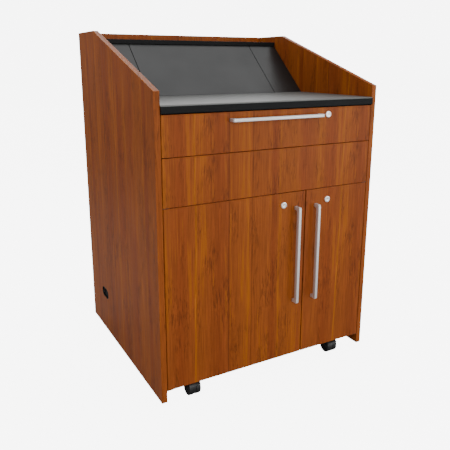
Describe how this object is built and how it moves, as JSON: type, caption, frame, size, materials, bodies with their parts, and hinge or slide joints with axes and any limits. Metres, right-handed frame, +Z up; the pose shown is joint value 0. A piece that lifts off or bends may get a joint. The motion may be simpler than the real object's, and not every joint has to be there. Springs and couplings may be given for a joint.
{
  "type": "presentation lectern",
  "caption": "Wood-grain cabinet lectern on casters with a black worktop, sloped console, locking drawer, rack bay and storage bay behind two doors.",
  "frame": {"origin": "on the floor under the middle of the bounding box", "axes": "+Z up, front with the doors and drawer towards -Y, +X to the right of a person facing the front"},
  "size_m": [0.832, 0.779, 1.19],
  "materials": {
    "cherry_laminate": "satin laminate with a vertical wood grain",
    "black_laminate": "satin black laminate",
    "satin_nickel": "satin nickel plating",
    "zinc_steel": "bright zinc plating",
    "black_steel": "black powder coat",
    "black_nylon": "moulded",
    "black_tread": "moulded, matt"
  },
  "bodies": {
    "cabinet": {"left_side_panel": "cherry_laminate", "right_side_panel": "cherry_laminate", "bottom_panel": "cherry_laminate", "centre_divider": "cherry_laminate", "fascia_rail": "cherry_laminate", "drawer_deck": "cherry_laminate", "left_surface_cleat": "cherry_laminate", "right_surface_cleat": "cherry_laminate", "front_fascia": "cherry_laminate", "upper_back_panel": "cherry_laminate", "adjustable_shelf": "cherry_laminate", "work_surface": "black_laminate", "console_centre_panel": "black_laminate", "console_left_wing": "black_laminate", "console_right_wing": "black_laminate", "console_ledge": "black_laminate", "console_base": "black_laminate", "left_console_gusset": "black_laminate", "right_console_gusset": "black_laminate", "left_rack_rail": "black_steel", "right_rack_rail": "black_steel", "left_slide_outer": "zinc_steel", "right_slide_outer": "zinc_steel", "drawer_strike": "zinc_steel", "left_door_strike": "zinc_steel", "right_door_strike": "zinc_steel", "left_door_upper_pivot": "black_steel", "left_door_lower_pivot": "black_steel", "right_door_upper_pivot": "black_steel", "right_door_lower_pivot": "black_steel", "cable_port_liner": "black_nylon", "cable_port_plate": "black_nylon"},
    "drawer": {"drawer_front": "cherry_laminate", "drawer_tray": "black_steel", "drawer_handle": "satin_nickel", "drawer_lock_body": "satin_nickel", "left_slide_inner": "zinc_steel", "right_slide_inner": "zinc_steel"},
    "drawer_lock": {"drawer_lock_plug": "satin_nickel"},
    "left_slide": {"left_slide_middle": "zinc_steel"},
    "right_slide": {"right_slide_middle": "zinc_steel"},
    "left_door": {"left_door": "cherry_laminate", "left_door_handle": "satin_nickel", "left_door_lock_body": "satin_nickel"},
    "left_door_lock": {"left_door_lock_plug": "satin_nickel"},
    "right_door": {"right_door": "cherry_laminate", "right_door_handle": "satin_nickel", "right_door_lock_body": "satin_nickel"},
    "right_door_lock": {"right_door_lock_plug": "satin_nickel"},
    "rear_panel": {"rear_access_panel": "cherry_laminate", "rear_panel_lock_body": "satin_nickel"},
    "rear_panel_lock": {"rear_panel_lock_plug": "satin_nickel"},
    "front_left_caster": {"front_left_caster_hood": "black_nylon"},
    "front_left_wheels": {"front_left_caster_wheels": "black_tread"},
    "front_right_caster": {"front_right_caster_hood": "black_nylon"},
    "front_right_wheels": {"front_right_caster_wheels": "black_tread"},
    "rear_left_caster": {"rear_left_caster_hood": "black_nylon"},
    "rear_left_wheels": {"rear_left_caster_wheels": "black_tread"},
    "rear_right_caster": {"rear_right_caster_hood": "black_nylon"},
    "rear_right_wheels": {"rear_right_caster_wheels": "black_tread"}
  },
  "joints": [
    {"name": "drawer_travel", "type": "slide", "parent": "cabinet", "child": "drawer", "axis": [0, -1, 0], "range_m": [0, 0.42]},
    {"name": "left_slide_travel", "type": "slide", "parent": "cabinet", "child": "left_slide", "axis": [0, -1, 0], "range_m": [0, 0.21]},
    {"name": "right_slide_travel", "type": "slide", "parent": "cabinet", "child": "right_slide", "axis": [0, -1, 0], "range_m": [0, 0.21]},
    {"name": "drawer_lock_turn", "type": "hinge", "parent": "drawer", "child": "drawer_lock", "pos_m": [0.205, -0.3615, 0.913], "axis": [0, 1, 0], "range_deg": [0, 90]},
    {"name": "left_door_swing", "type": "hinge", "parent": "cabinet", "child": "left_door", "pos_m": [-0.389, -0.3555, 0.36], "axis": [0, 0, -1], "range_deg": [0, 100]},
    {"name": "left_door_lock_turn", "type": "hinge", "parent": "left_door", "child": "left_door_lock", "pos_m": [0.0345, -0.3615, 0.6205], "axis": [0, 1, 0], "range_deg": [0, 90]},
    {"name": "right_door_swing", "type": "hinge", "parent": "cabinet", "child": "right_door", "pos_m": [0.389, -0.3555, 0.36], "axis": [0, 0, 1], "range_deg": [0, 100]},
    {"name": "right_door_lock_turn", "type": "hinge", "parent": "right_door", "child": "right_door_lock", "pos_m": [0.2165, -0.3615, 0.6205], "axis": [0, -1, 0], "range_deg": [0, 90]},
    {"name": "rear_panel_tilt", "type": "hinge", "parent": "cabinet", "child": "rear_panel", "pos_m": [0, 0.3865, 0.0835], "axis": [-1, 0, 0], "range_deg": [0, 40]},
    {"name": "rear_panel_lock_turn", "type": "hinge", "parent": "rear_panel", "child": "rear_panel_lock", "pos_m": [0, 0.3865, 0.872], "axis": [0, -1, 0], "range_deg": [0, 90]},
    {"name": "front_left_caster_swivel", "type": "hinge", "parent": "cabinet", "child": "front_left_caster", "pos_m": [-0.291, -0.303, 0.0617], "axis": [0, 0, 1], "continuous": true},
    {"name": "front_left_wheel_spin", "type": "hinge", "parent": "front_left_caster", "child": "front_left_wheels", "pos_m": [-0.291, -0.323, 0.025], "axis": [1, 0, 0], "continuous": true},
    {"name": "front_right_caster_swivel", "type": "hinge", "parent": "cabinet", "child": "front_right_caster", "pos_m": [0.291, -0.303, 0.0617], "axis": [0, 0, 1], "continuous": true},
    {"name": "front_right_wheel_spin", "type": "hinge", "parent": "front_right_caster", "child": "front_right_wheels", "pos_m": [0.291, -0.323, 0.025], "axis": [1, 0, 0], "continuous": true},
    {"name": "rear_left_caster_swivel", "type": "hinge", "parent": "cabinet", "child": "rear_left_caster", "pos_m": [-0.291, 0.331, 0.0617], "axis": [0, 0, 1], "continuous": true},
    {"name": "rear_left_wheel_spin", "type": "hinge", "parent": "rear_left_caster", "child": "rear_left_wheels", "pos_m": [-0.291, 0.311, 0.025], "axis": [1, 0, 0], "continuous": true},
    {"name": "rear_right_caster_swivel", "type": "hinge", "parent": "cabinet", "child": "rear_right_caster", "pos_m": [0.291, 0.331, 0.0617], "axis": [0, 0, 1], "continuous": true},
    {"name": "rear_right_wheel_spin", "type": "hinge", "parent": "rear_right_caster", "child": "rear_right_wheels", "pos_m": [0.291, 0.311, 0.025], "axis": [1, 0, 0], "continuous": true}
  ],
  "couplings": [
    {"joint": "left_slide_travel", "follows": "drawer_travel", "ratio": 0.5},
    {"joint": "right_slide_travel", "follows": "drawer_travel", "ratio": 0.5}
  ]
}
